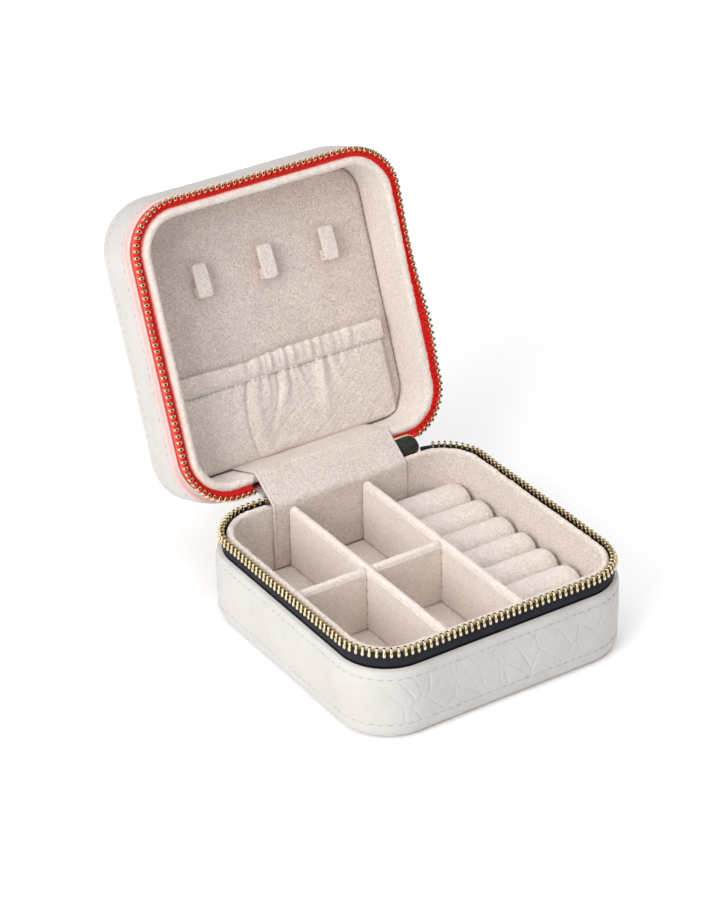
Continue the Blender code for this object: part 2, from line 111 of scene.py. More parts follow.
def add(tree, kind, inputs=None, **settings):
    node = tree.nodes.new(kind)
    for key, value in settings.items():
        setattr(node, key, value)
    for key, value in (inputs or {}).items():
        if isinstance(value, bpy.types.NodeSocket):
            tree.links.new(value, node.inputs[key])
        else:
            node.inputs[key].default_value = value
    return node


def maths(tree, operation, *values):
    return add(tree, "ShaderNodeMath", dict(enumerate(values)), operation=operation).outputs[0]


def attribute(tree, name, output="Fac"):
    return add(tree, "ShaderNodeAttribute", attribute_name=name).outputs[output]


def noise(tree, scale, detail=3.0, rough=0.55, curl=0.0):
    inputs = {"Scale": scale, "Detail": detail, "Roughness": rough, "Distortion": curl}
    inputs["Vector"] = add(tree, "ShaderNodeTexCoord").outputs["Object"]
    return add(tree, "ShaderNodeTexNoise", inputs).outputs["Fac"]


def ramp(tree, value, stops):
    node = add(tree, "ShaderNodeValToRGB", {"Fac": value})
    points = node.color_ramp.elements
    while len(points) < len(stops):
        points.new(0.5)
    for point, (place, color) in zip(points, stops):
        point.position = place
        point.color = (*color, 1)
    return node.outputs["Color"]


def mix(tree, factor, first, second):
    inputs = {0: factor, 6: first, 7: second}
    inputs = {key: (*value, 1) if isinstance(value, tuple) else value for key, value in inputs.items()}
    return add(tree, "ShaderNodeMix", inputs, data_type="RGBA").outputs[2]


def surface(tree, bsdf, color, height, depth, roughness=None):
    """Join a colour, a bump of some depth and perhaps a roughness to the shader."""
    bump = add(tree, "ShaderNodeBump", {"Height": height, "Distance": depth, "Strength": 1.0})
    tree.links.new(bump.outputs[0], bsdf.inputs["Normal"])
    tree.links.new(color, bsdf.inputs["Base Color"])
    if roughness:
        tree.links.new(roughness, bsdf.inputs["Roughness"])


def suede(name, light, dark, curl_scale=1650.0, painted_side_light=None):
    """Short-napped microsuede: curly tufts with light tips, a finer nap and brushed patches, and, when
    given, painted light on a rim's outer side.
    """
    made, tree, bsdf = shader(name, light, 0.95, Sheen_Weight=0.25, Sheen_Roughness=0.45,
                              Sheen_Tint=(1.0, 0.96, 0.93, 1))
    tufts = noise(tree, curl_scale, 2, 0.6, 1.7)
    nap = noise(tree, curl_scale * 2.1, 1, 0.6)
    patches = noise(tree, 70, 2)
    blend = maths(tree, "MULTIPLY_ADD", nap, 0.2, maths(tree, "MULTIPLY", tufts, 0.72))
    shade = maths(tree, "MULTIPLY_ADD", patches, 0.08, blend)
    color = ramp(tree, shade, ((0.41, dark), (0.57, light)))
    # painted light on a rim's outer side: painted shade on the base, a painted red reflection of the tape
    # on the lid
    if painted_side_light:
        side = attribute(tree, "outside")
        side_light_color = ramp(tree, side, ((0.25, painted_side_light[0]), (0.8, painted_side_light[1])))
        color = mix(tree, maths(tree, "MULTIPLY", side, 1.6), color, side_light_color)
    surface(tree, bsdf, color, blend, 0.00065)
    return made


def leather(name, color, dark, roughness, grain=0.00006, mottle=60.0, gloss=0.5):
    made, tree, bsdf = shader(name, color, roughness, Coat_Weight=0.06, Coat_Roughness=0.35,
                              Specular_IOR_Level=gloss)
    place = add(tree, "ShaderNodeTexCoord").outputs["Object"]
    pores = add(tree, "ShaderNodeTexVoronoi", {"Vector": place, "Scale": 1500.0}).outputs["Distance"]
    cloud = noise(tree, mottle, 4, 0.6)
    face = ramp(tree, cloud, ((0.3, dark), (0.6, color)))
    # painted red reflection of the red tape, laid on by a per-point attribute
    reflected_red_face = mix(tree, attribute(tree, "blush"), face, (0.95, 0.2, 0.16))
    uneven = maths(tree, "MULTIPLY_ADD", cloud, 0.16, roughness - 0.08)
    surface(tree, bsdf, reflected_red_face, maths(tree, "ADD", pores, noise(tree, 500, 3)), grain, uneven)
    return made


def woven(name, color, edge_color, painted_glow=0.0, sheen=0.2, dip=0.35):
    """Herringbone zip tape, driven by the distance along it and the height across it."""
    # the emission is painted light in the tape's own colour
    made, tree, bsdf = shader(name, color, 0.75, Sheen_Weight=sheen, Emission_Strength=painted_glow,
                              Emission_Color=(*color, 1), Specular_IOR_Level=0.25)
    place = add(tree, "ShaderNodeSeparateXYZ", {"Vector": attribute(tree, "weave", "Vector")})
    along, across = place.outputs[0], place.outputs[1]
    column = maths(tree, "PINGPONG", along, 0.7)
    ribs = maths(tree, "SINE", maths(tree, "MULTIPLY", maths(tree, "ADD", across, column), 8.5))
    height = maths(tree, "MULTIPLY_ADD", ribs, 0.5, 0.5)
    low = tuple(dip * value for value in color)
    face = mix(tree, height, low, color)
    edge = maths(tree, "LESS_THAN", across, 0.75)
    surface(tree, bsdf, mix(tree, edge, face, edge_color), height, 0.00012)
    return made


def metal(name, color, roughness):
    made, tree, bsdf = shader(name, color, roughness, Metallic=1.0)
    worn = noise(tree, 700, 3)
    face = ramp(tree, worn, ((0.3, tuple(0.78 * value for value in color)), (0.65, color)))
    # painted shade and painted dark reflection, laid on the teeth by a per-point attribute
    painted_shade_face = mix(tree, attribute(tree, "recess"), face, (0.035, 0.022, 0.008))
    uneven = maths(tree, "MULTIPLY_ADD", worn, 0.2, roughness - 0.1)
    surface(tree, bsdf, painted_shade_face, worn, 0.00003, uneven)
    return made


def thread(name, color):
    made, tree, bsdf = shader(name, color, 0.6, Sheen_Weight=0.2)
    twist = noise(tree, 2500, 1)
    shade = ramp(tree, twist, ((0.35, tuple(0.7 * value for value in color)), (0.6, color)))
    surface(tree, bsdf, shade, twist, 0.00008)
    return made


def board(name, light, dark):
    made, tree, bsdf = shader(name, light, 0.9)
    fibres = ramp(tree, noise(tree, 400), ((0.3, dark), (0.7, light)))
    surface(tree, bsdf, fibres, noise(tree, 900), 0.0001)
    return made


LINING = suede("lining_suede", (1.0, 0.9, 0.835), (0.79, 0.68, 0.615))
# the rims' outer sides get painted light: painted shade on the base's, darkest next to the teeth, and a
# painted red reflection of the red tape on the lid's
BASE_RIM = suede("base_rim_suede", (0.97, 0.875, 0.815), (0.68, 0.585, 0.525),
                 painted_side_light=((0.5, 0.42, 0.37), (0.12, 0.1, 0.1)))
LID_RIM = suede("lid_rim_suede", (1.0, 0.91, 0.85), (0.74, 0.645, 0.58),
                painted_side_light=((0.98, 0.5, 0.45), (0.95, 0.06, 0.05)))
PAD = suede("pad_suede", (0.94, 0.815, 0.76), (0.58, 0.485, 0.44))
POCKET = suede("pocket_suede", (1.0, 0.9, 0.84), (0.68, 0.585, 0.53))
PAD_EDGE = suede("tab_suede", (1.0, 0.91, 0.85), (0.7, 0.605, 0.55))
RIBBON = suede("ribbon_suede", (0.91, 0.81, 0.755), (0.62, 0.52, 0.465))
ROLL = suede("roll_suede", (0.93, 0.845, 0.795), (0.7, 0.61, 0.555), 1450.0)
WHITE = leather("white_leather", (0.6, 0.575, 0.557), (0.555, 0.526, 0.505), 0.45)
BLACK = leather("black_leather", (0.03, 0.03, 0.026), (0.005, 0.005, 0.005), 0.55, 0.00022, 900.0, 0.22)
NAVY = woven("navy_herringbone", (0.028, 0.029, 0.046), (0.003, 0.003, 0.004), sheen=0.0, dip=0.12)
# the red tape has painted light: a small emission that brightens its red
RED = woven("red_herringbone", (0.98, 0.03, 0.026), (0.98, 0.12, 0.1), 0.26)
BRASS = metal("brass", (0.95, 0.8, 0.5), 0.24)
THREAD = thread("pale_thread", (0.47, 0.45, 0.425))
GREY_THREAD = thread("grey_thread", (0.34, 0.35, 0.39))
TACK_THREAD = thread("tack_thread", (0.48, 0.4, 0.35))
BOARD = board("grey_board", (0.5, 0.47, 0.43), (0.36, 0.33, 0.3))


# -------- geometry helpers

def stack(*parts):
    return np.stack(parts, -1)


def unit(value):
    """Held between 0 and 1."""
    return np.clip(value, 0, 1)


def circle(count):
    return np.linspace(0, 2 * pi, count, endpoint=False)


def ridge(value, place, width):
    """A bell-shaped bump, 1 at its place."""
    return np.exp(-((value - place) / width) ** 2)


def squared(value, power):
    """A cosine or sine flattened towards a rounded square as the power falls."""
    return np.sign(value) * np.abs(value) ** power


def shoulder(share, power=2.0, least=0.0):
    """Rise from 0 to 1 along a rounded shoulder."""
    return np.sqrt(np.clip(1 - (1 - unit(share)) ** power, least, 1))


def opened(points):
    """Shut-lid coordinates carried to the open lid."""
    return turned(points, OPEN)


def turned(points, angle):
    """Points turned about the lid's hinge."""
    points = np.asarray(points, float)
    c, s = cos(angle), sin(angle)
    back, up = points[..., 1] - HINGE[1], points[..., 2] - HINGE[2]
    return stack(points[..., 0], HINGE[1] + back * c + up * s, HINGE[2] - back * s + up * c)


def station(distance):
    """Anchors and normals of the outline at distances along it, leftwards from the hinge's middle."""
    distance = np.mod(np.asarray(distance, float) + CENTRE, ROUND)
    corner = np.floor(distance / (SIDE + ARC))
    rest = distance - corner * (SIDE + ARC)
    facing = np.radians(90 + 90 * corner)
    angle = facing + np.maximum(rest - SIDE, 0) / ARC * pi / 2
    out = stack(np.cos(facing), np.sin(facing))
    along = stack(-np.sin(facing), np.cos(facing))
    anchor = out * CENTRE + along * (np.minimum(rest, SIDE) - CENTRE)[..., None]
    return anchor, stack(np.cos(angle), np.sin(angle))


def facing(distance):
    """How squarely the wall faces left, right, front and back."""
    _, normal = station(distance)
    x, y = normal[..., 0], normal[..., 1]
    return unit(-x), unit(x), unit(-y), unit(y)


def level(shell, height):
    return shell.edge + shell.way * height


def placed(shell, points):
    return opened(points) if shell is LID else points


def grid(rows, columns):
    return np.meshgrid(rows, columns, indexing="ij")


def swept(profile, distances):
    """Grid of distance, half width and height for a (half width, height) profile carried along."""
    s, half = grid(distances, profile[:, 0])
    return s, half, np.broadcast_to(profile[:, 1], s.shape)


def shut_at(shell, distance, half, height):
    """Points of one half of the shut case, from the way round it, the half width and the height."""
    distance, half, z = np.broadcast_arrays(distance, half, level(shell, height))
    anchor, normal = station(distance)
    flat = anchor + normal * (half - CENTRE)[..., None]
    return np.concatenate([flat, z[..., None]], -1)


def at(shell, distance, half, height):
    return placed(shell, shut_at(shell, distance, half, height))


def smooth_noise(points, size, seed):
    """Cheap repeatable noise from -1 to 1: products of sines at unrelated pitches."""
    rng = np.random.default_rng(seed)
    total = 0
    for octave in range(4):
        k = rng.normal(size=(3, points.shape[-1])) * (2 ** octave) / size
        p = rng.uniform(0, 6.28, 3)
        waves = np.sin(points @ k.T * 2 + p)
        total = total + waves[..., 0] * waves[..., 1] + 0.5 * waves[..., 2] / (octave + 1)
    return np.clip(total / 2.6, -1, 1)


def mesh_object(name, vertices, faces, material):
    mesh = bpy.data.meshes.new(name)
    mesh.from_pydata(np.asarray(vertices).reshape(-1, 3).tolist(), [], faces)
    bm = bmesh.new()
    bm.from_mesh(mesh)
    bmesh.ops.recalc_face_normals(bm, faces=bm.faces)
    bm.to_mesh(mesh)
    bm.free()
    mesh.shade_smooth()
    mesh.materials.append(material)
    made = bpy.data.objects.new(name, mesh)
    bpy.context.scene.collection.objects.link(made)
    return made


def grid_faces(rows, columns, wrap_rows=False, wrap_columns=False):
    faces = []
    for i in range(rows if wrap_rows else rows - 1):
        here, after = i * columns, (i + 1) % rows * columns
        for j in range(columns if wrap_columns else columns - 1):
            n = (j + 1) % columns
            faces.append((here + j, here + n, after + n, after + j))
    return faces


def tube_faces(rows, sides):
    """Faces of a tube with both ends capped."""
    last = (rows - 1) * sides
    return grid_faces(rows, sides, False, True) + [tuple(range(sides)), tuple(range(last, last + sides))]


def loft(name, points, material, wrap_rows=False):
    """Closed rows of points joined into a tube, capped unless the rows wrap."""
    rows, columns = len(points), len(points[0])
    faces = grid_faces(rows, columns, True, True) if wrap_rows else tube_faces(rows, columns)
    return mesh_object(name, points, faces, material)


def two_sided(name, front, back, material):
    """Two matching grids of points joined round their edge."""
    rows, columns = front.shape[:2]
    count = rows * columns
    faces = grid_faces(rows, columns)
    faces += [tuple(v + count for v in face) for face in faces]
    ids = np.arange(count).reshape(rows, columns)
    rim = [*ids[0], *ids[1:, -1], *ids[-1, -2::-1], *ids[-2:0:-1, 0]]
    rim = [int(v) for v in rim]
    faces += [(a, b, b + count, a + count) for a, b in zip(rim, rim[1:] + rim[:1])]
    return mesh_object(name, np.stack([front, back]), faces, material)


def copies(name, sets, faces, material):
    """Many copies of one small closed mesh, each given by its own vertices."""
    sets = np.asarray(sets)
    count = sets.shape[1]
    everything = [tuple(v + i * count for v in face) for i in range(len(sets)) for face in faces]
    return mesh_object(name, sets, everything, material)


def capsule(steps=5, thinning=0.5, sides=6):
    """A short round thread that thins towards its ends, as (along, aside, out) from -1 to 1."""
    t, turn = grid(np.linspace(-1, 1, steps), circle(sides))
    thick = 1 - thinning * t ** 4
    points = stack(t, thick * np.cos(turn), thick * np.sin(turn))
    return points.reshape(-1, 3), tube_faces(steps, sides)


SMALL_POINTS, SMALL_FACES = capsule()


def set_attribute(piece, name, values, kind="FLOAT"):
    attribute = piece.data.attributes.new(name, kind, "POINT")
    field = "vector" if kind == "FLOAT_VECTOR" else "value"
    attribute.data.foreach_set(field, np.asarray(values, np.float32).ravel())


def dress(piece, body, slot, *nodes):
    """Ride on a body and stand for CAD nodes; the slot is not used."""
    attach(piece, body)
    if nodes:
        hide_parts(*nodes)
    return piece


def arc_points(x, z, radius, start, end, steps):
    """Points of an arc round (x, z), with its angles in degrees."""
    angles = [radians(start + (end - start) * i / steps) for i in range(steps + 1)]
    return [(x + radius * cos(angle), z + radius * sin(angle)) for angle in angles]


def stitches(name, sewn, material, body="lid", slot="suede"):
    return dress(copies(name, sewn, SMALL_FACES, material), body, slot)


def resample(profile, spacing):
    """Points along a polyline at most a spacing apart, keeping its corners."""
    out = []
    for (a, b), (c, d) in zip(profile, profile[1:]):
        steps = max(1, int(hypot(c - a, d - b) / spacing))
        out += [(a + (c - a) * i / steps, b + (d - b) * i / steps) for i in range(steps)]
    return np.array(out + [profile[-1]])


# -------- leather

def creases(across, up, size, seed, wrap=None):
    """Depth from 0 to 1 of the creases between pressed cells on an unrolled surface."""
    rng = np.random.default_rng(seed)
    if wrap:
        size = wrap / round(wrap / size)
    columns = round(wrap / size) if wrap else 64
    jitter = rng.uniform(-0.49, 0.49, (columns, 64, 2))
    turn = 6.283 / (size * 1.4)
    u = across / size + 0.07 * np.sin(turn * up + 1.0)
    v = up / (size * 1.15) + 0.07 * np.sin(turn * across * 0.8 + 2.0)
    i, j = np.floor(u).astype(int), np.floor(v).astype(int)
    nearest = second = np.full(u.shape, 9.0)
    for di, dj in product((-2, -1, 0, 1, 2), repeat=2):
        shift = jitter[(i + di) % columns, (j + dj) % 64]
        d = np.hypot(i + di + 0.5 + shift[..., 0] - u, j + dj + 0.5 + shift[..., 1] - v)
        second = np.minimum(second, np.maximum(d, nearest))
        nearest = np.minimum(nearest, d)
    gap = second - nearest
    shown = 0.35 + 0.65 * unit(smooth_noise(stack(across, up), size * 1.7, seed) * 1.6 + 0.5)
    return (0.85 * ridge(gap, 0, 0.05) + 0.15 * ridge(gap, 0, 0.16)) * shown


def wall_half(shell, s, below):
    """Outside half width of the padded wall at a depth below its upper edge, and its full swell."""
    left, _, front, back = facing(s)
    corner = left * back * 2
    swell = BULGE + (0.0006 * corner if shell is BASE else 0.0011 * corner - 0.0007 * front ** 2)
    swell = swell + 0.0001 * np.sin(s * 95) * np.sin(s * 41 + 1)
    return HALF + swell * shoulder(below / 0.0034), swell


def stitch_row(name, shell, height):
    """Thread of a saddle stitch, each stitch dipping into the leather at both ends."""
    count = round(ROUND / 0.0029)
    shape, faces = capsule(7, 0.35)
    t, aside, out = shape.T
    thick = 0.00015
    distance = (np.arange(count)[:, None] + 0.5) * ROUND / count + t * 0.00105
    wall = wall_half(shell, distance, -height)[0]
    points = at(shell, distance, wall - 0.00018 - 0.00026 * t ** 4 + thick * aside,
                height + thick * out + 0.00012 * t)
    dress(copies(name, points, faces, THREAD), shell.name, "white_leather")


def leather_band(shell):
    """Padded wall of pressed leather with a turned upper edge, a round foot and two sewn channels."""
    name, depth = shell.name, shell.depth
    top_row, low_row = -0.0033, 0.0055 - depth
    foot, foot_half, foot_end = 0.0046, 0.0478, 0.0462
    turn, lip_steps = LEATHER / 2, 8
    corners = arc_points(HALF - turn, -turn, turn, 180, 0, lip_steps) + [(HALF, foot - depth)]
    corners += [(foot_half + (HALF - foot_half) * cos(radians(a)),
                 foot * (1 - sin(radians(a))) - depth) for a in range(9, 91, 9)]
    corners += [(foot_end, -depth), (0.046, LEATHER - depth), (0.0479, LEATHER - depth),
                (0.04875, 0.00125 - depth), (HALF - LEATHER, 0.0021 - depth)]
    profile = resample(corners, 0.0003)
    # the outside runs from the turned lip to the inner end of the foot
    order = np.arange(len(profile))
    last = np.hypot(profile[:, 0] - foot_end, profile[:, 1] + depth).argmin()
    outside = (order >= lip_steps) & (order < last)
    s, half, height = swept(profile, np.linspace(0, ROUND, 1400, endpoint=False))
    wall, swell = wall_half(shell, s, np.maximum(-height, 0))
    near_foot = unit((half - foot_half) / (HALF - foot_half))
    pushed = np.where(height < foot - depth, swell * near_foot, wall - HALF)
    half = half + np.where(outside, pushed, 0)
    on_wall = outside & (height > 0.001 - depth) & (height < -0.0006)
    groove = sum(ridge(height, row, 0.00036) for row in (top_row, low_row))
    between = unit((top_row - height) / (top_row - low_row))
    puff = np.sin(pi * between) ** 0.6
    inside = unit((top_row - height) / 0.0012) * unit((height - low_row) / 0.0012)
    # the left wall is almost smooth
    strength = 1 - 0.75 * facing(s)[0] ** 2
    slanted = s + 0.45 * height
    pressed = creases(slanted, height * 0.58, 0.0078, 5 + len(name), ROUND)
    pressed += creases(slanted, height * 0.62, 0.0047, 9 + len(name), ROUND) * 0.4
    waves = smooth_noise(stack(s, height), 0.016, 3)
    relief = 0.00012 * puff - 0.0002 * groove - 0.00026 * pressed * inside * strength + 0.00008 * waves
    half = half + np.where(on_wall, relief, 0)
    piece = loft(name + "_leather_wall", at(shell, s, half, height), WHITE, wrap_rows=True)
    dress(piece, name, "white_leather", name + "_leather_band")
    # painted red reflection of the lid's red tape on the leather just below the tape, strongest on the
    # sides facing left and front
    reflected_red_mask = np.exp(-np.maximum(-height, 0) / 0.0009) * outside * (0.75 if shell is LID else 0.0)
    set_attribute(piece, "blush", reflected_red_mask * unit(0.6 - station(s)[1][..., 0] * 0.8))
    stitch_row(name + "_upper_stitches", shell, top_row)
    stitch_row(name + "_lower_stitches", shell, low_row)


def rounded_patch(half, cells):
    """Square grid bent onto the rounded outline, by way of the direction from its centre."""
    line = np.linspace(-1, 1, cells)
    u, v = grid(line, line)
    share = np.maximum(np.abs(u), np.abs(v))
    safe = np.maximum(share, 1e-9)
    du, dv = np.abs(u) / safe, np.abs(v) / safe
    # the ray (du, dv) meets the straight sides at half, unless both parts pass the arc's start
    a = du ** 2 + dv ** 2
    b = -2 * CENTRE * (du + dv)
    c = 2 * CENTRE ** 2 - (half - CENTRE) ** 2
    on_arc = (-b + np.sqrt(np.maximum(b ** 2 - 4 * a * c, 0))) / (2 * a)
    reach = np.where(np.minimum(du, dv) * half > CENTRE, on_arc, half)
    return u / safe * share * reach, v / safe * share * reach, share


def slab(name, shell, half, low, high, material, top_relief, cells):
    """A flat piece with the case's outline, whose inner face follows top_relief(x, y, edge distance)."""
    x, y, share = rounded_patch(half, cells)
    lift = top_relief(x, y, (1 - share) * half)
    top = stack(x, y, level(shell, high - shell.depth + lift))
    under = stack(x, y, np.full_like(x, level(shell, low - shell.depth)))
    return two_sided(name, placed(shell, top), placed(shell, under), material)


def outer_panel(shell, side):
    """Pressed leather over the whole outside face, dished slightly at its edge."""
    name = shell.name

    def relief(x, y, edge):
        pressed = creases(x + 0.1, y + 0.1, 0.0098, 21) + 0.3 * creases(x + 0.1, y + 0.1, 0.0046, 22)
        fade = unit(edge / 0.004)
        return 0.0003 * pressed * fade + 0.0004 * (1 - unit(edge / 0.0012)) ** 2

    # the outside face is the low one, so the slab is built upside down
    piece = slab(name + "_leather_panel", shell, 0.0457, LEATHER, 0.0, WHITE, relief, 180)
    dress(piece, name, "white_leather", name + "_leather_" + side)


# -------- lining

def lining(shell):
    """Suede wall with a soft rounded rim, notched where the hinge ribbon crosses it."""
    name, inner, outer, rim, depth = shell.name, shell.inner, shell.outer, shell.rim, shell.depth
    radius = (outer - inner) / 2
    middle = (outer + inner) / 2
    profile = [(inner, 0.0039 - depth), (inner, rim - radius)]
    profile += arc_points(middle, rim - radius, radius, 180, 0, 12)[1:]
    profile += [(outer, 0.0001), (0.0466, -0.0006), (0.0466, 0.0039 - depth)]
    s, half, height = swept(resample(profile, 0.0004), np.linspace(0, ROUND, 1200, endpoint=False))
    points = shut_at(shell, s, half, height)
    rough = smooth_noise(points, 0.001, 7) * 0.00011 + smooth_noise(points, 0.012, 8) * 0.0001
    exposed = unit((height + depth - 0.0045) / 0.004)
    side = np.sign(middle - half)
    half = half - side * rough * exposed * (np.abs(middle - half) > radius * 0.5)
    x = points[..., 0]
    ribbon = 1 / (1 + np.exp(-(0.0264 - np.abs(x)) / 0.0004)) * (points[..., 1] > 0.03)
    top = unit((height - (rim - 0.0025)) / 0.0025)
    height = height - ribbon * top * 0.001 + rough * top * (1 - ribbon)
    material = BASE_RIM if shell is BASE else LID_RIM
    piece = loft(name + "_lining", at(shell, s, half, height), material, wrap_rows=True)
    # how strongly the rim's outer side takes painted light (shade on the base, red reflection on the lid),
    # most towards the teeth
    outside = unit((half - middle - radius * 0.35) / (radius * 0.6))
    outside = outside * unit((rim + 0.0002 - height) / (rim - 0.0012)) ** 0.7 * (half > middle)
    set_attribute(piece, "outside", outside)
    dress(piece, name, "suede", name + "_lining_wall")


def pad(name, shell, node, material):
    """Foam panel whose suede rolls down into the seam along the walls."""
    def relief(x, y, edge):
        roll = -(0.0009 if shell is LID else 0.0003) * (1 - unit(edge / 0.0018)) ** 2
        soft = 0.00012 * smooth_noise(stack(x, y), 0.02, 11)
        return roll + soft * unit(edge / 0.004)

    piece = slab(name, shell, shell.inner - GAP, 0.0039, shell.pad, material, relief, 130)
    dress(piece, shell.name, "suede", node)


def divider(node):
    """Card wrapped in suede, rounded along its upper edge."""
    low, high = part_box(node)
    size = high - low
    along = 1 if size.y > size.x else 0
    low[along] -= GAP * 0.9
    high[along] += GAP * 0.9
    across = 1 - along
    half = size[across] / 2
    radius = half * 0.92
    profile = [(-half, low.z), (-half, high.z - radius)]
    profile += arc_points(0, high.z - radius, radius, 180, 0, 10)
    profile += [(half, high.z - radius), (half, low.z)]
    line = np.linspace(low[along], high[along], int(size[along] / 0.00034))
    s, width, height = swept(resample(profile, 0.0004), line)
    flat = stack(s, width, height)
    top = unit((height - high.z + 0.0022) / 0.0012)
    rough = smooth_noise(flat, 0.001, 13) * (0.00003 + 0.0001 * top)
    rough = rough + smooth_noise(flat, 0.012, 14) * 0.00009
    width = width * (1 + rough / half)
    height = height + rough * (height > high.z - radius)
    points = np.zeros(s.shape + (3,))
    points[..., along] = s
    points[..., across] = width + (low[across] + high[across]) / 2
    points[..., 2] = height
    piece = loft(node + "_suede", points, LINING)
    dress(piece, "base", "suede", node)


def tack_stitches():
    """Small dark stitches up the corners where the dividers meet the walls and each other."""
    left, right, cross = map(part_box, ("long_divider_left", "long_divider_right", "cross_divider_left"))
    proud, thick, back = 0.00012, 0.0001, 0.0444 - 0.00012
    t, a, b = SMALL_POINTS.T
    sewn = []
    for x, y in ((left[0].x - proud, cross[0].y - proud), (right[0].x - proud, cross[0].y - proud),
                 (left[0].x - proud, back), (right[0].x - proud, back),
                 (left[1].x + proud, cross[1].y - proud), (right[1].x + proud, back),
                 (proud + 0.0001 - BASE.inner, cross[1].y - proud)):
        for z in np.arange(0.0084, 0.0262, 0.0043):
            sewn.append(stack(x + a * thick, y + b * thick, z + t * 0.0005))
    stitches("divider_tack_stitches", sewn, TACK_THREAD, "base")


def ring_roll(number):
    """Foam roll under suede: a soft round section, a domed end and its end seam."""
    node = "ring_roll_%d" % number
    low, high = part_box(node)
    half, centre = (high - low) / 2, (low + high) / 2
    back = np.concatenate([np.linspace(0, 0.0004, 3), np.linspace(0.0007, 0.0042, 12),
                           np.linspace(0.005, high.x - low.x, 34)])
    away = back[::-1]
    share = shoulder(away / 0.0038, 2.6, 0.02) * (1 - 0.035 * ridge(away, 0.003, 0.00035))
    xs, turns = grid(high.x - away, circle(56))
    y = squared(np.cos(turns), 0.88) * (half.y + 0.0003)
    z = squared(np.sin(turns), 0.88) * half.z
    flat = stack(xs, y + centre.y, z)
    soft = 1 + 0.018 * smooth_noise(flat, 0.01, 17 + number) + 0.004 * smooth_noise(flat, 0.0012, 18)
    scale = np.minimum(share[:, None] * soft, 1.02)
    y, z = y * scale, z * scale
    corner = np.hypot(np.maximum(xs - CENTRE, 0), np.maximum(np.abs(y + centre.y) - CENTRE, 0))
    # the end keeps inside the tray's rounded corner
    past = np.maximum(corner - (BASE.inner - GAP - CENTRE), 0)
    y = y - np.sign(y + centre.y) * past * 1.3
    points = stack(xs, y + centre.y, z + centre.z)
    piece = loft(node + "_suede", points, ROLL)
    dress(piece, "base", "suede_roll", node)


# -------- lid fittings

FACE = level(LID, LID.pad - LID.depth)


def lid_points(u, v, w):
    """Lid coordinates: u to the right, v up the open lid, w out of its padded face."""
    u, v, w = np.broadcast_arrays(u, v, w)
    return opened(stack(u, -v, FACE - w))


def hook(node, centre):
    """Folded suede tab that stands off the pad on a short stem, with rounded lower corners."""
    low, high, width, radius = 0.014, 0.0256, 0.0054, 0.0017
    front, thick = 0.0046, 0.0016
    left = [(-width / 2 + 0.0006, high), (-width / 2, high - 0.0006)]
    left += arc_points(radius - width / 2, low + radius, radius, 180, 270, 5)
    outline = np.array(left + [(-a, b) for a, b in reversed(left)])
    middle = np.array([0, (low + high) / 2])
    rings = []
    for inset, depth in ((0.0005, thick), (0.0002, thick - 0.0001), (0, thick - 0.0004), (0, 0.0004),
                         (0.0002, 0.0001), (0.0005, 0)):
        shrink = 2 * inset / np.array([width, high - low])
        u, v = (middle + (outline - middle) * (1 - shrink)).T
        # the upper end leans back towards the pad
        rings.append(lid_points(centre + u, v, front - depth - 0.0012 * ((v - low) / (high - low)) ** 2))
    tab = loft(node + "_tab", rings, PAD_EDGE)
    modifier = tab.modifiers.new("round", "SUBSURF")
    modifier.levels = modifier.render_levels = 2
    rows = []
    for w in (0.0002, 0.001, 0.0018, front - thick + 0.0003):
        grow = 0.0004 * exp(-w / 0.0006)
        half, foot, top = width / 2 - 0.0004 + grow, low + 0.0001 - grow, low + 0.0036 + grow
        side = np.array([-half, half, half, -half])
        rows.append(lid_points(centre + side, np.array([foot, foot, top, top]), w))
    stem = loft(node + "_stem", rows, PAD)
    bevel = stem.modifiers.new("edge", "BEVEL")
    bevel.width = 0.0004
    bevel.segments = 3
    dress(tab, "lid", "suede", node)
    dress(stem, "lid", "suede")


# Creases of the pocket in mm: place at the seam, drift at the foot, bow in between, depth, width, the
# share of the height that it reaches, then the height, offset and width of the bulge beside it
POCKET_FOLDS = ((-13.8, -0.4, -9, 0.95, 0.9, 3, 1.2, 3.2, 2.8),
                (-2, -16, 15, 0.75, 0.9, 0.42, 1, 2.4, 2.2), (-5, -5, 0, 0, 1, 0.55, 0.7, -1.6, 2.4),
                (7, 5, 0, 0.35, 0.9, 0.22, 0.5, -1.6, 1.5), (16.6, 6, 0, 0.6, 0.9, 0.3, 0.5, 1.9, 1.7),
                (14.4, -2, 0, 0, 1, 0.6, 1.3, 0, 2.2), (10.4, 0.5, 0, 0.35, 2.4, 0.5, 0, 0, 1),
                (-8.6, 2, 0, 0.3, 0.8, 0.16, 0.4, 1.5, 1.2), (2.2, -1, 0, 0.3, 0.8, 0.2, 0.4, 1.5, 1.3),
                (22, 1, 0, 0.2, 0.8, 0.14, 0.3, 1.5, 1.2), (-19.5, -2, 0, 0.2, 1, 0.4, 0.5, 2.6, 2.6),
                (27.5, 0, 0, 0.2, 0.8, 0.12, 0.2, 1.4, 1.2))
# Folds of the hem in mm: place, height, width
HEM_FOLDS = ((-33, 0.1, 2.2), (-27, 0.2, 1.8), (-21.6, 0.25, 1.9), (-18, 0.3, 1.5), (-14.7, 0.55, 1.4),
             (-9.2, 0.75, 1.6), (-6.2, 0.3, 0.8), (-4.2, 0.75, 1), (-1, 0.3, 0.7), (0.8, 0.7, 1.1),
             (4.4, 0.75, 1.4), (8, 0.4, 1.5), (11.3, 0.65, 1.3), (15, 0.55, 1.1), (19.3, 0.5, 1.6),
             (22.6, 0.3, 1), (26.5, 0.65, 1.5), (31.5, 0.2, 1.6))


def hem_folds(u):
    return sum(height * ridge(u, place * MM, width * MM) for place, height, width in HEM_FOLDS)


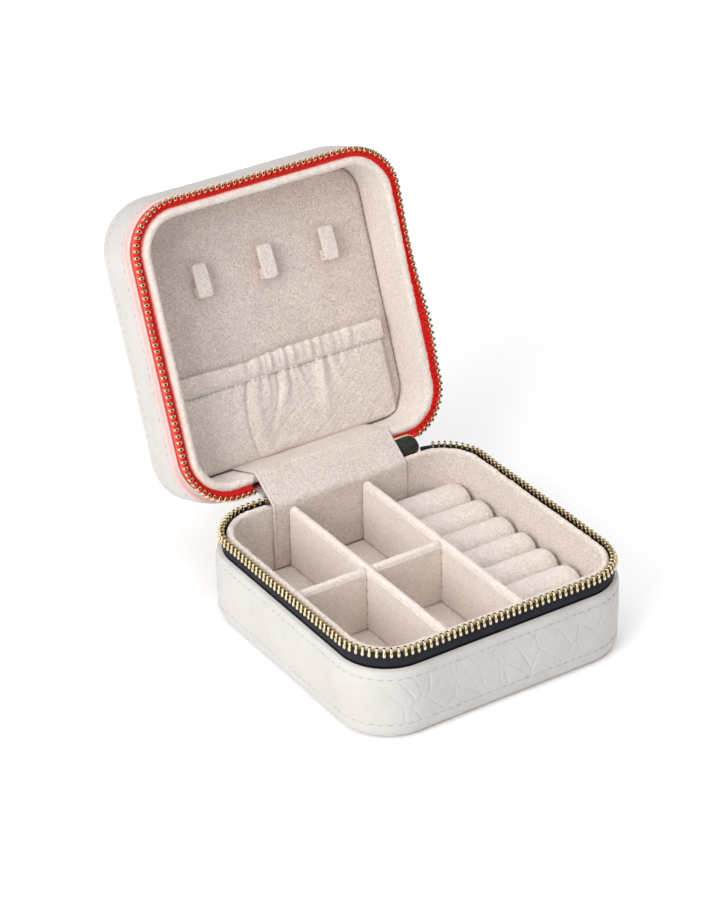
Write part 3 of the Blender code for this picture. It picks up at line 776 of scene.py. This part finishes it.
def pocket_folds(u, reach):
    """Relief below the hem: bowed creases with a bulge beside each, dying away on their way down."""
    total = 0.3 * MM * hem_folds(u) * np.exp(-(reach / 0.1) ** 2)
    for place, drift, bow, depth, width, length, height, offset, spread in POCKET_FOLDS:
        centre = (place + drift * reach + bow * reach * (1 - reach)) * MM
        fade = np.exp(-(reach / length) ** 2) * MM
        total = total + fade * (height * ridge(u, centre + offset * MM, spread * MM * (0.7 + 0.5 * reach))
                                - depth * ridge(u, centre, width * MM))
    gather = ridge(u, -0.004, 0.007) * ridge(reach, 0.9, 0.09)
    return total + 0.9 * MM * gather


def small_stitch(u, v, w, length, level_row):
    """One thread stitch on the lid's padded face, along u or along v."""
    t, a, b = SMALL_POINTS.T
    dip = -0.00015 * t ** 2
    across, up = t * length / 2, a * 0.00013
    if not level_row:
        across, up = up, across
    return lid_points(u + across, v + up, w + b * 0.00013 + dip)


POCKET_LEFT, POCKET_RIGHT = -0.0434, 0.04
HEM_TOP, HEM_LOW, POCKET_FOOT = -0.0096, -0.017, -0.0436


def pocket_front():
    """Gathered suede from the hem's seam to its foot, under the hinge ribbon."""
    uu, vv = np.meshgrid(np.linspace(POCKET_LEFT, POCKET_RIGHT, 420),
                         np.linspace(HEM_LOW + 0.0004, POCKET_FOOT, 110))
    reach = unit((HEM_LOW - vv) / (HEM_LOW - POCKET_FOOT))
    ends = unit((POCKET_RIGHT - uu) / 0.0035) * unit((uu - POCKET_LEFT) / 0.004)
    belly = np.sin(pi * reach ** 0.85) ** 0.55 * ends ** 0.5
    w = 0.0011 + 0.001 * belly + pocket_folds(uu, reach) * ends
    w = w + 0.00018 * smooth_noise(stack(uu, vv), 0.009, 31)
    foot = unit((vv - POCKET_FOOT) / 0.0016)
    w = np.maximum(w, 0.0003) * np.sqrt(1 - (1 - foot) ** 2 * 0.97) * np.clip(ends * 3, 0.35, 1)
    # the lower corners follow the lid's rounded corners
    past_x = np.maximum(np.abs(uu) - CENTRE, 0)
    past_y = np.maximum(-vv - CENTRE, 0)
    limit = LID.inner - 2 * GAP - CENTRE
    radius = np.hypot(past_x, past_y)
    pull = limit / np.maximum(radius, 1e-9)
    u = np.where(radius > limit, np.sign(uu) * (CENTRE + past_x * pull), uu)
    v = np.where(radius > limit, -(CENTRE + past_y * pull), vv)
    back = np.maximum(w - 0.0004, 0) + 0.00012
    piece = two_sided("pocket_gathered_front", lid_points(u, v, w + 0.0003), lid_points(u, v, back), POCKET)
    return dress(piece, "lid", "suede", "pocket_front")


def pocket_hem():
    """A flattened sleeve whose folds stand out most at its mouth and run into the seam."""
    u, turns = grid(np.linspace(POCKET_LEFT, POCKET_RIGHT, 420), circle(36))
    middle, half_height = (HEM_TOP + HEM_LOW) / 2, (HEM_TOP - HEM_LOW) / 2
    ends = unit((POCKET_RIGHT - u) / 0.003)
    gathered = hem_folds(u) * ends
    sag = 0.0009 * ridge(u, -0.015, 0.009)
    across, out = squared(np.sin(turns), 0.8), squared(np.cos(turns), 0.7)
    v = middle + half_height * across + (0.0007 * (gathered - 0.5) - sag) * unit(across) * ends
    body = unit(1 - 0.45 * across ** 4)
    w = 0.0014 + out * 0.00095 * body + 0.0015 * gathered * (out > -0.2) * (0.65 + 0.35 * across) * body
    hem = loft("pocket_elastic_hem", lid_points(u, v, w), POCKET)
    return dress(hem, "lid", "suede", "pocket_hem", "pocket_elastic")


def pocket_seam():
    """Seam under the hem, and the row that holds the pocket's right side."""
    sewn = []
    for place in np.arange(POCKET_LEFT + 0.001, POCKET_RIGHT, 0.00165):
        lift = 0.002 + float(pocket_folds(np.array(place), np.array(0.0))) * 0.8
        sewn.append(small_stitch(place, HEM_LOW - 0.0001, lift, 0.0011, True))
    for place in np.arange(HEM_TOP - 0.0006, -0.0385, -0.0023):
        sewn.append(small_stitch(0.039, place, 0.00115 if place < HEM_LOW else 0.0022, 0.0013, False))
    return stitches("pocket_stitches", sewn, GREY_THREAD)


def pocket():
    front, hem, seam = pocket_front(), pocket_hem(), pocket_seam()


def lid_seam_stitches():
    """Stitches down the seam at the right of the lid's pad."""
    edge = LID.inner - 2 * GAP
    seam = [small_stitch(edge, place, -0.0006, 0.0012, False) for place in np.arange(-0.031, 0.033, 0.0021)]
    stitches("lid_pad_seam_stitches", seam, TACK_THREAD)


# -------- zip

def lean(shell, s, height):
    """How far the soft chain has bent from its line: in or out from the middle, growing with height."""
    anchor, normal = station(s)
    y = anchor[..., 1] + normal[..., 1] * CORNER
    left, right, front, back = (share ** 2 for share in facing(s))
    if shell is LID:
        bend = right * (0.0011 * ridge(y, 0.016, 0.011) - 0.0012 * ridge(y, -0.015, 0.013))
        bend = bend + left * 0.0007 * ridge(y, -0.01, 0.012) + 0.0002 * front
    else:
        bend = -0.0009 * right - 0.0009 * back - 0.0002 * front + 0.0001 * left
    bend = bend + 0.00016 * np.sin(s * 173) * np.sin(s * 71 + 2)
    bend = bend * np.clip(height / (shell.low + 0.0029), 0, 1.1)
    # the open chain splays, so the teeth lean from their tape
    if shell is LID:
        tilt, pivot = 0.42 * left - 0.3 * right + 0.22 * front - 0.15 * back, 0.0029
    else:
        tilt, pivot = -0.32 * right - 0.32 * back, 0.0016
    above = np.maximum(height - shell.low, 0) - pivot
    below = unit(height / shell.low)
    return bend + tilt * (above + pivot * (1 - below))


def tape(shell, material, slot):
    """Woven tape up to the teeth, its facing down to the rim, and the cord that the teeth clamp."""
    name, top, low = shell.name, shell.zip - 0.0002, shell.low
    belly = [(0.0494, 0.0009), (0.0498, 0.0022)] if shell is BASE else [(0.0492, 0.0009)]
    outer = [(0.0488, -0.006), (0.0488, -0.0002)] + belly + [(top, low - 0.0004), (top, low + 0.0006)]
    outer = resample(outer, 0.0004)
    wall = shell.outer + 0.00014
    inner = resample([(top - 0.0004, low + 0.0006), (top - 0.0006, low - 0.0006), (wall + 0.0002, 0.0012),
                      (wall, 0.0006), (0.0484, -0.0002), (0.0484, -0.006)], 0.0004)
    profile = np.concatenate([outer, inner])
    start = -CHAIN_START_X
    at_slider = ROUND - SLIDER_FAR_X
    end = at_slider if shell is BASE else ROUND - TAPE_END_X
    s, half, height = swept(profile, np.linspace(start, end, 620))
    half = half + lean(shell, s, height)
    # the lid's tape is folded low beside the slider
    height = np.where(s > at_slider, np.minimum(height, 0.0015), height)
    piece = loft(name + "_woven_tape", at(shell, s, half, height), material)
    set_attribute(piece, "weave", stack(s / MM, height / MM, 0 * s), "FLOAT_VECTOR")
    dress(piece, name, slot, name + "_zip_tape")

    s, t = grid(np.linspace(start, at_slider, 900), circle(12))
    twist = 1 + 0.1 * np.sin(s / 0.00055 + 3 * t)
    height = low + 0.0007 + 0.0006 * twist * np.sin(t)
    half = shell.zip + 0.00062 * twist * np.cos(t) + lean(shell, s, height)
    cord = loft(name + "_zip_bead", at(shell, s, half, height), material)
    set_attribute(cord, "weave", stack(s / MM, 1.5 + np.sin(t), 0 * s), "FLOAT_VECTOR")
    dress(cord, name, slot)


def tooth_shape():
    """One metal tooth: clamped legs, a neck, and a head with a dimple, as (along, height, through)."""
    levels = [(0.0, 0.3, 0.72), (0.03, 0.44, 1.02), (0.22, 0.55, 1.16), (0.85, 0.56, 1.16),
              (1.35, 0.53, 1.04), (1.66, 0.46, 0.86), (1.9, 0.44, 0.76), (2.15, 0.48, 0.82),
              (2.45, 0.52, 0.86), (2.7, 0.5, 0.8), (2.86, 0.43, 0.66), (2.9, 0.33, 0.5),
              (2.85, 0.26, 0.38), (2.62, 0.2, 0.3), (2.52, 0.07, 0.1)]
    sides = 14
    height, along, through = (column[:, None] for column in np.array(levels).T * MM)
    c, s = squared(np.cos(circle(sides)), 0.62), squared(np.sin(circle(sides)), 0.62)
    points = stack(along * c, height + 0 * c, through * s)
    return points.reshape(-1, 3), tube_faces(len(levels), sides)


def teeth(shell):
    name = shell.name
    shape, faces = tooth_shape()
    # the lid's teeth stand half a pitch along, so that the two rows mesh
    start = -CHAIN_START_X + (PITCH / 2 if shell is LID else 0)
    count = int((ROUND - CHAIN_END_X - start) / PITCH)
    places = start + np.arange(count) * PITCH + 0.0004
    skew = np.random.default_rng(2).normal(0, 0.00004, (count, 1))
    along, up, through = shape.T
    distance = places[:, None] + along + skew
    height = shell.low + up + 0 * distance
    bend = lean(shell, places[:, None] + 0 * distance, height)
    points = at(shell, distance, shell.zip + through + bend, height)
    piece = copies(name + "_brass_teeth", points, faces, BRASS)
    # painted shade and painted dark reflection gather on the sides, at the root and in the dimple, which is
    # the last fifth of the levels
    sides = unit(np.abs(along) / (0.57 * MM)) ** 4 * 0.55
    root = np.exp(-up / (0.25 * MM)) * 0.6
    dimple = np.arange(len(shape)) >= len(shape) * 4 // 5
    set_attribute(piece, "recess", np.tile(np.where(dimple, 1.0, np.maximum(sides, root)), count))
    dress(piece, name, "brass", name + "_zip_teeth")


# -------- hinge

def strip(name, line, thickness, left, right, material, seam_depth=0.0):
    """A soft strap along a (y, z) line, with rounded long edges."""
    line = np.asarray(line)
    tangent = np.gradient(line, axis=0)
    tangent /= np.linalg.norm(tangent, axis=1)[:, None]
    normal = stack(-tangent[:, 1], tangent[:, 0])
    half = (right - left) / 2
    # points crowd towards the edges
    x = np.linspace(-1, 1, 90)
    x = np.sign(x) * (1 - (1 - np.abs(x)) ** 1.15)
    edge = (1 - np.abs(x)) * half
    seam = seam_depth * ridge(edge, 0.0012, 0.00025)
    top = thickness / 2 * shoulder(edge / (thickness / 2), 2, 0.05) - seam
    xs, along = np.meshgrid(np.concatenate([x, x[::-1]]) * half + (left + right) / 2,
                            np.arange(len(line)) * 0.0005)
    wave = 0.00007 * smooth_noise(stack(xs, along), 0.012, 41)
    offset = np.concatenate([top, -top[::-1]]) + wave
    yz = line[:, None] + normal[:, None] * offset[..., None]
    return loft(name, np.concatenate([xs[..., None], yz], -1), material)


def rounded_line(points, radius, spacing):
    """A polyline with its inner corners rounded, sampled evenly."""
    points = np.array(points)
    out = [points[0]]
    for a, b, c in zip(points, points[1:], points[2:]):
        before = b + (a - b) / np.linalg.norm(a - b) * radius
        after = b + (c - b) / np.linalg.norm(c - b) * radius
        for t in np.linspace(0, 1, 7):
            out.append((1 - t) ** 2 * before + 2 * t * (1 - t) * b + t ** 2 * after)
    return resample([*out, points[-1]], spacing)


def length_of(line):
    return float(np.linalg.norm(np.diff(line, axis=0), axis=1).sum())


def open_yz(y, z):
    return tuple(opened(np.array([0, y, z]))[1:])


def bend(piece, slot, node, line, width, start, end, rests_on):
    """Hide the CAD node of a strap that runs between its start on the base and its end on the lid, and bake
    the strap's transform into its mesh.
    """
    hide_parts(node)
    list(start)
    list(end)
    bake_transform(piece)
    length_of(line)
    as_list(rests_on)


def hinge_ribbon():
    """Suede ribbon from the tray's floor, over both rims and up to the lid's pad."""
    stand_off = GAP + 0.00035
    base_y, lid_y = BASE.inner - stand_off, LID.inner - stand_off
    base_top = level(BASE, BASE.rim - 0.001) + 0.0004
    lid_top = level(LID, LID.rim - 0.001) - 0.0004
    start, end = (base_y, base_top), open_yz(lid_y, lid_top)
    line = rounded_line([(base_y, 0.0071), start, end, open_yz(lid_y, FACE - GAP)], 0.0012, 0.0005)
    ribbon = strip("hinge_suede_ribbon", line, 0.0007, RIBBON_LEFT, RIBBON_RIGHT, RIBBON, 0.00022)
    bend(ribbon, "suede", "hinge_ribbon", line, RIBBON_RIGHT - RIBBON_LEFT, start, end,
         ["base_lining", "lid_lining"])


def hinge_spine():
    """Leather over the outside of the hinge, an arc from one leather edge to the other."""
    y = HALF - LEATHER / 2
    first = np.array([y, level(BASE, GAP)])
    last = np.array(open_yz(y, level(LID, GAP)))
    radius = np.linalg.norm(last - first) / 2 / sin(OPEN / 2)
    angles = pi - OPEN * np.linspace(0, 1, 40)
    line = first + stack(radius + radius * np.cos(angles), radius * np.sin(angles))
    spine = strip("hinge_leather_spine", line, LEATHER, CHAIN_START_X + GAP, TAPE_END_X - 2 * GAP, WHITE)
    bend(spine, "white_leather", "hinge_spine", line, TAPE_END_X - CHAIN_START_X - 3 * GAP, first, last,
         ["base_leather_wall", "lid_leather_wall"])


# -------- slider and pull

def slider_plate(name, outline, y_low, y_high, material):
    """A plate of the slider, given by its outline in x and height, as it stands when shut."""
    rounding = 0.00015
    outline = np.array(outline)
    centre = outline.mean(0)
    size = np.abs(outline - centre).max(0)
    rows = []
    for y, inset in ((y_low, rounding), (y_low + rounding, 0), (y_high - rounding, 0), (y_high, rounding)):
        x, z = (centre + (outline - centre) * (1 - inset / size)).T
        rows.append(stack(x, HINGE[1] + y + 0 * x, HINGE[2] + z))
    return loft(name, turned(rows, OPEN / 2), material)


def rounded_rectangle(left, right, low, high, radii, steps=7):
    """Corners in the order low right, high right, high left, low left."""
    corners = [(right, low, -90), (right, high, 0), (left, high, 90), (left, low, 180)]
    points = []
    for (x, z, start), radius in zip(corners, radii):
        centre_x = x - copysign(radius, x - (left + right) / 2)
        centre_z = z - copysign(radius, z - (low + high) / 2)
        points += arc_points(centre_x, centre_z, radius, start, start + 90, steps)
    return points


def slider():
    """Black inner face in a brass edging, the outer plate, the post between them and the crown."""
    left, right = 0.0269, 0.0344
    inner = rounded_rectangle(left, right, -0.0036, 0.0031, (0.0031, 0.0026, 0.0006, 0.0006))
    outer = rounded_rectangle(left, right, -0.0022, 0.0022, (0.0016, 0.0016, 0.001, 0.001))
    post = rounded_rectangle(left + 0.0004, right - 0.0015, -0.0008, 0.0008, (0.0005,) * 4)
    edging = rounded_rectangle(left - 0.0001, right + 0.0002, -0.0038, 0.0039,
                               (0.0032, 0.0028, 0.0006, 0.0006))
    face = slider_plate("slider_inner_face", inner, -0.00245, -0.00195, BLACK)
    dress(face, "zip_slider", "black_lacquer", "zip_slider_body")
    plates = (("slider_inner_plate", edging, -0.00194, -0.00165),
              ("slider_outer_plate", outer, 0.0007, 0.0014), ("slider_post", post, -0.0017, 0.0008))
    for name, outline, low, high in plates:
        dress(slider_plate(name, outline, low, high, BRASS), "zip_slider", "brass")
    middle = (left + right) / 2
    angles = np.linspace(0, pi, 19)
    y = HINGE[1] + 0.0014 + 0.0019 * np.maximum(np.sin(angles), 0) ** 0.8
    z = HINGE[2] + 0.0015 * np.cos(angles)
    path = turned(stack(middle + 0 * y, y, z), OPEN / 2)
    dress(tube("slider_crown_arch", path, 0.00048, BRASS), "zip_slider", "brass", "zip_slider_crown")


def tube(name, path, radius, material, closed=False):
    """Round wire along a path that lies flat in a plane across x or y."""
    path = np.asarray(path)
    tangent = np.roll(path, -1, 0) - np.roll(path, 1, 0) if closed else np.gradient(path, axis=0)
    side = (1, 0, 0) if np.ptp(path[:, 0]) < 1e-6 else (0, 1, 0)
    other = np.cross(tangent, side)
    other /= np.linalg.norm(other, axis=1)[:, None]
    turn = circle(12)[:, None]
    rows = path[:, None] + radius * (np.cos(turn) * side + np.sin(turn) * other[:, None])
    return loft(name, rows, material, wrap_rows=closed)


def pull():
    """Wire link and stitched leather tab, hanging straight down when the box is open."""
    pivot = np.array(joints["pull_link_hang"]["pos_m"])
    bar = np.array(joints["pull_tab_swing"]["pos_m"])
    outline = rounded_rectangle(-0.0028, 0.0028, bar[2] - pivot[2], 0.0, (0.0009,) * 4, 6)
    path = [(pivot[0] + x, pivot[1], pivot[2] + z) for x, z in outline]
    link = tube("pull_wire_link", path, 0.0004, BRASS, closed=True)
    dress(link, "pull_link", "brass", "pull_link")

    length, half, neck, end_radius, thick = 0.0185, 0.0032, 0.0019, 0.0024, 0.00125
    side = [(neck, 0.0013), (neck, -0.0014), (neck + 0.0004, -0.0019), (half - 0.0003, -0.0024),
            (half, -0.0032), (half, end_radius - length)]
    side += arc_points(half - end_radius, end_radius - length, end_radius, -degrees(0.2), -90, 6)
    outline = np.array(side + [(-x, z) for x, z in reversed(side)])
    centre = np.array([0, -length / 2])
    rows = []
    for y, shrink in ((-thick, 0.125), (-0.0011, 0.0375), (-0.0008, 0),
                      (0.0008, 0), (0.0011, 0.0375), (thick, 0.125)):
        x, z = (centre + (outline - centre) * (1 - shrink)).T
        rows.append(bar + stack(x, y + 0 * x, z))
    dress(loft("pull_leather_tab", rows, BLACK), "pull_tab", "black_leather", "pull_tab")
    t, a, b = SMALL_POINTS.T
    row_x, heights = half - 0.0008, np.arange(-0.0042, -length + 0.003, -0.0017)
    sewn = []
    for face, x, z in product((-1, 1), (-row_x, row_x), heights):
        y = face * (0.00124 - 0.0001 * t ** 2)
        sewn.append(bar + stack(x + a * 0.00011, y + b * 0.0001, z + t * 0.0006))
    stitches("pull_stitches", sewn, THREAD, "pull_tab", "black_leather")


# -------- stage

def stage():
    floor_material, tree, bsdf = shader("pale_floor", (0.96, 0.96, 0.96), 0.8, Emission_Strength=0.05,
                                        Emission_Color=(1, 1, 1, 1))
    clouds = ramp(tree, noise(tree, 3), ((0.3, (0.955,) * 3), (0.7, (0.965,) * 3)))
    tree.links.new(clouds, bsdf.inputs["Base Color"])
    corners = [(-3, -3, 0), (3, -3, 0), (3, 3, 0), (-3, 3, 0)]
    mesh_object("floor", corners, [(0, 1, 2, 3)], floor_material)

    scene = bpy.context.scene
    scene.view_settings.view_transform = "Standard"
    world = bpy.data.worlds.new("studio")
    world.use_nodes = True
    background = world.node_tree.nodes["Background"]
    background.inputs["Color"].default_value = (1, 1, 1, 1)
    background.inputs["Strength"].default_value = 0.3
    scene.world = world
    aim = Vector((0, 0.02, 0.04))
    lights = (("key", (-0.86, -0.32, 0.52), 0.6, 7.8, (1.0, 0.985, 0.97)),
              ("softbox", (0.1, 0.2, 2.2), 3.4, 54.0, (1.0, 1.0, 1.0)),
              ("fill", (0.45, -0.95, 0.45), 0.8, 0.4, (1.0, 1.0, 1.0)))
    for name, place, size, power, color in lights:
        data = bpy.data.lights.new(name, "AREA")
        data.size, data.energy, data.color = size, power, color
        lamp = bpy.data.objects.new(name, data)
        scene.collection.objects.link(lamp)
        lamp.location = place
        lamp.rotation_euler = (aim - Vector(place)).to_track_quat("-Z", "Y").to_euler()


def camera():
    """Long lens from the front left, above the tray."""
    azimuth, elevation, roll = (radians(angle) for angle in (-32.45, 30.16, -1.14))
    turn = Matrix.Rotation(azimuth, 3, "Z") @ Matrix.Rotation(pi / 2 - elevation, 3, "X")
    turn = turn @ Matrix.Rotation(roll, 3, "Z")
    data = bpy.data.cameras.new("front_left_view")
    data.lens = 124.5336
    made = bpy.data.objects.new("front_left_view", data)
    bpy.context.scene.collection.objects.link(made)
    made.matrix_world = Matrix.Translation(turn @ Vector((-0.0183, 0.0563, 1.001))) @ turn.to_4x4()
    bpy.context.scene.camera = made


# -------- build

for shell in (BASE, LID):
    leather_band(shell)
    lining(shell)
outer_panel(BASE, "bottom")
outer_panel(LID, "top")
pad("tray_floor_suede", BASE, "tray_floor_pad", LINING)
pad("lid_back_suede", LID, "lid_back_pad", PAD)
for name in ("long_divider_left", "long_divider_right", "cross_divider_left", "cross_divider_middle"):
    divider(name)
tack_stitches()
for number in range(1, 8):
    ring_roll(number)
for name, centre in (("hook_left", -0.0223), ("hook_middle", 0.0024), ("hook_right", 0.0262)):
    hook(name, centre)
pocket()
lid_seam_stitches()
tape(BASE, NAVY, "navy_tape")
tape(LID, RED, "red_tape")
teeth(BASE)
teeth(LID)
hinge_ribbon()
hinge_spine()
slider()
pull()
for name in ("base_core_board", "lid_core_board", "base_core_frame", "lid_core_frame"):
    node = frame["nodes"][name]
    node.data.materials.clear()
    node.data.materials.append(BOARD)

stage()
camera()
